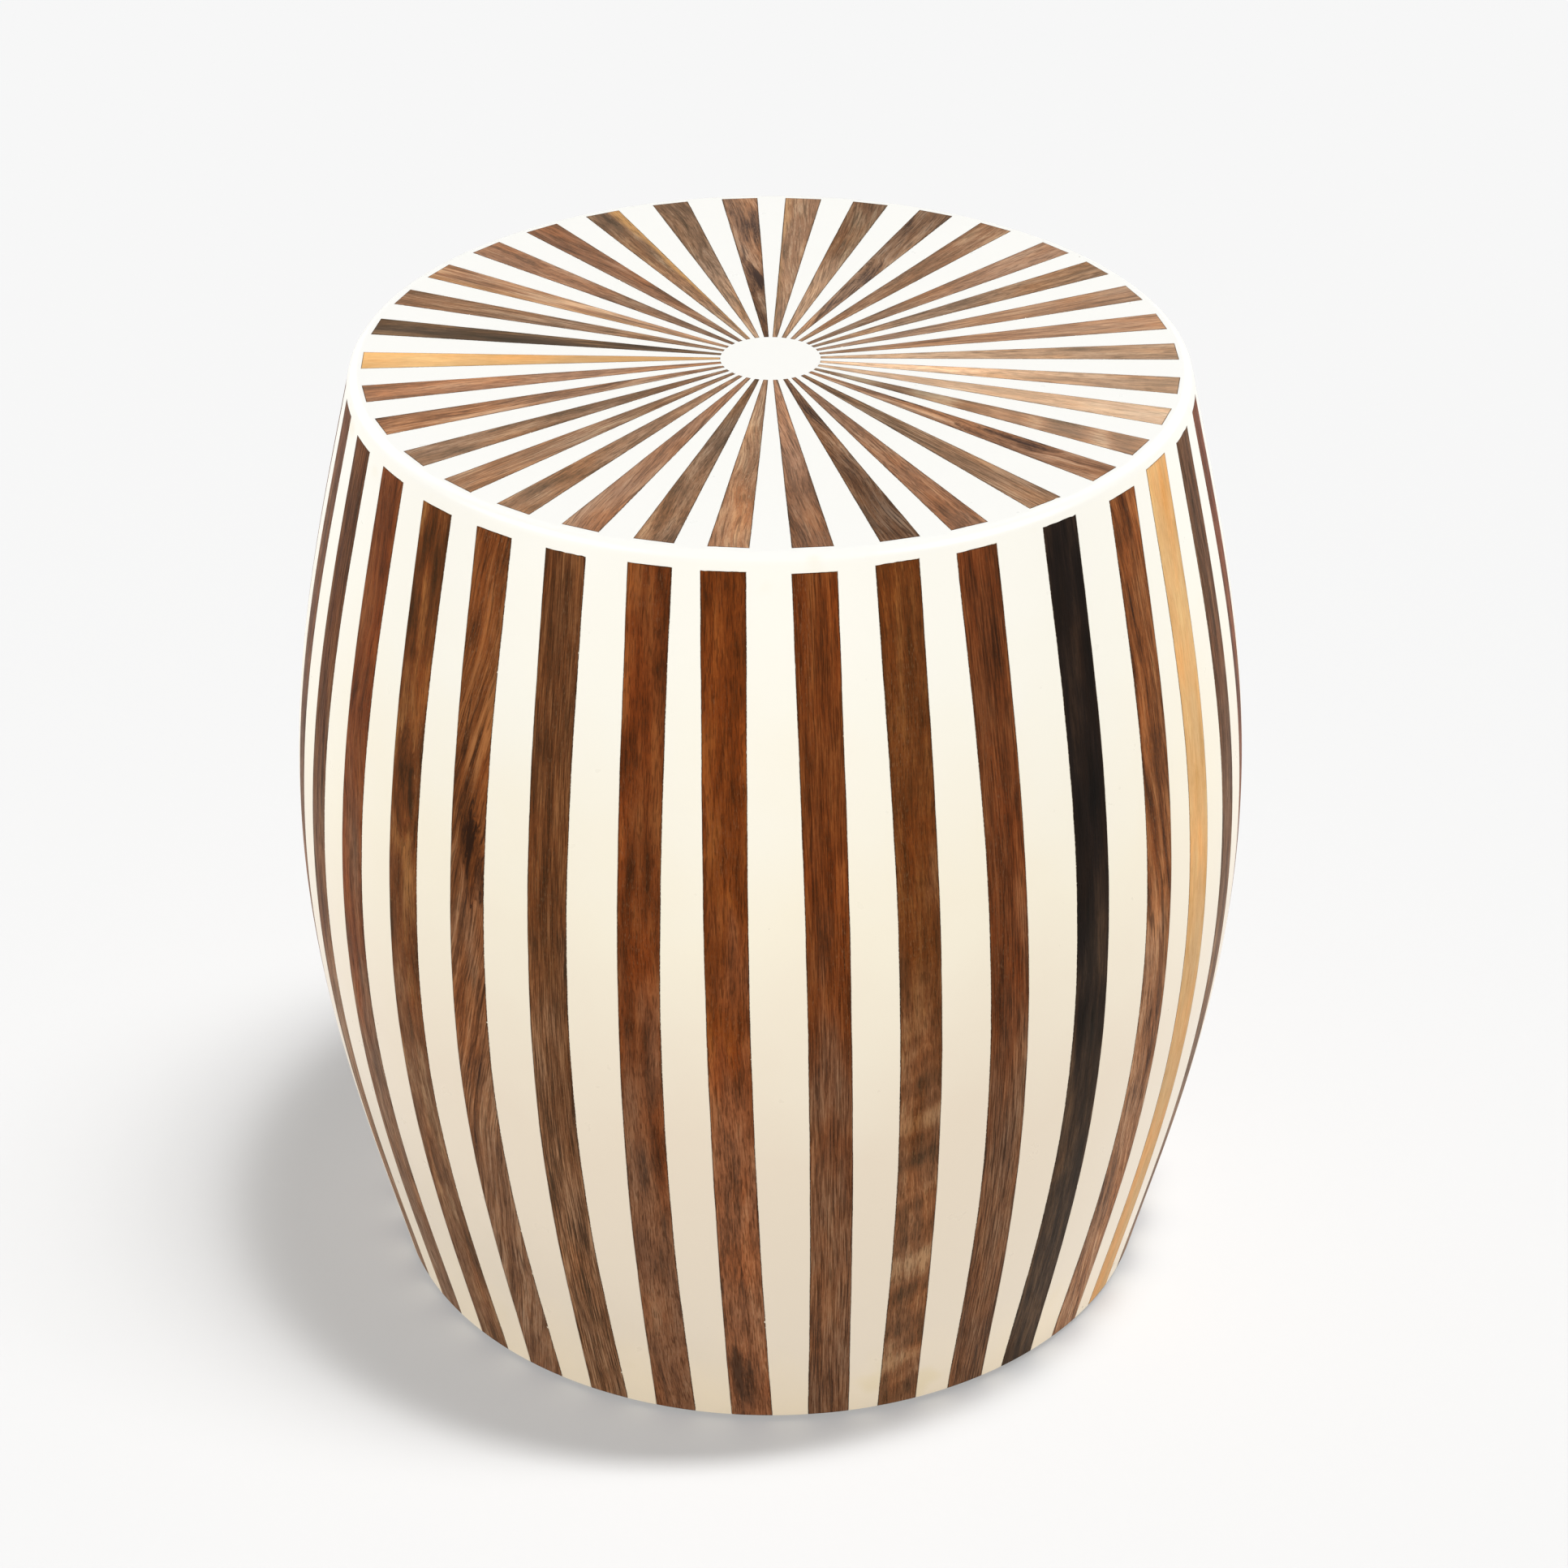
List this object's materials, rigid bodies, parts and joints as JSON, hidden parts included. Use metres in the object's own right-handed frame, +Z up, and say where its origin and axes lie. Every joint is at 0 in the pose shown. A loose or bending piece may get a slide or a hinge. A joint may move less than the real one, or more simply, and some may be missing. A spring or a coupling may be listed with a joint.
{
  "type": "barrel side table",
  "caption": "Barrel-shaped side table with a flat round top, faced with flush hardwood strips and rays set in ivory resin.",
  "frame": {"origin": "on the floor under the middle of the base", "axes": "+Z up the barrel's axis; the side seen in the picture faces -Y, with +X to its right"},
  "size_m": [0.444, 0.444, 0.4575],
  "materials": {
    "sheesham_wood": "sanded flush and satin lacquered, red-brown with darker streaks",
    "walnut_wood": "sanded flush and satin lacquered, grey-brown straight grain",
    "rosewood_wood": "sanded flush and satin lacquered, dark wavy figure",
    "teak_wood": "sanded flush and satin lacquered, light brown with curl",
    "ebony_wood": "sanded flush and satin lacquered, near black",
    "maple_wood": "sanded flush and satin lacquered, pale golden",
    "ivory_coat": "poured ivory resin, sanded and polished to a satin gloss",
    "stave_wood": "sawn and turned, unfinished",
    "panel_board": "fibreboard, unfinished",
    "hardboard": "smooth one face, unfinished",
    "zinc_steel": "zinc plated",
    "nylon": "moulded, matt"
  },
  "bodies": {
    "root": {"side_strip_01": "walnut_wood", "side_strip_02": "walnut_wood", "side_strip_03": "walnut_wood", "side_strip_04": "sheesham_wood", "side_strip_05": "teak_wood", "side_strip_06": "rosewood_wood", "side_strip_07": "walnut_wood", "side_strip_08": "sheesham_wood", "side_strip_09": "sheesham_wood", "side_strip_10": "sheesham_wood", "side_strip_11": "teak_wood", "side_strip_12": "sheesham_wood", "side_strip_13": "ebony_wood", "side_strip_14": "rosewood_wood", "side_strip_15": "maple_wood", "side_strip_16": "walnut_wood", "side_strip_17": "sheesham_wood", "side_strip_18": "rosewood_wood", "side_strip_19": "walnut_wood", "side_strip_20": "sheesham_wood", "side_strip_21": "teak_wood", "side_strip_22": "walnut_wood", "side_strip_23": "rosewood_wood", "side_strip_24": "sheesham_wood", "side_strip_25": "walnut_wood", "side_strip_26": "teak_wood", "side_strip_27": "sheesham_wood", "side_strip_28": "maple_wood", "side_strip_29": "walnut_wood", "side_strip_30": "sheesham_wood", "side_strip_31": "rosewood_wood", "side_strip_32": "teak_wood", "side_strip_33": "sheesham_wood", "side_strip_34": "walnut_wood", "top_rays_sheesham": "sheesham_wood", "top_rays_walnut": "walnut_wood", "top_rays_rosewood": "rosewood_wood", "top_rays_teak": "teak_wood", "top_rays_ebony": "ebony_wood", "top_rays_maple": "maple_wood", "side_coat": "ivory_coat", "top_coat": "ivory_coat", "staves": "stave_wood", "top_panel": "panel_board", "upper_rib": "panel_board", "lower_rib": "panel_board", "base_ring": "panel_board", "base_sheet": "hardboard", "stave_screws": "zinc_steel", "sheet_pins": "zinc_steel", "glide_nails": "zinc_steel", "floor_glides": "nylon"}
  },
  "joints": []
}
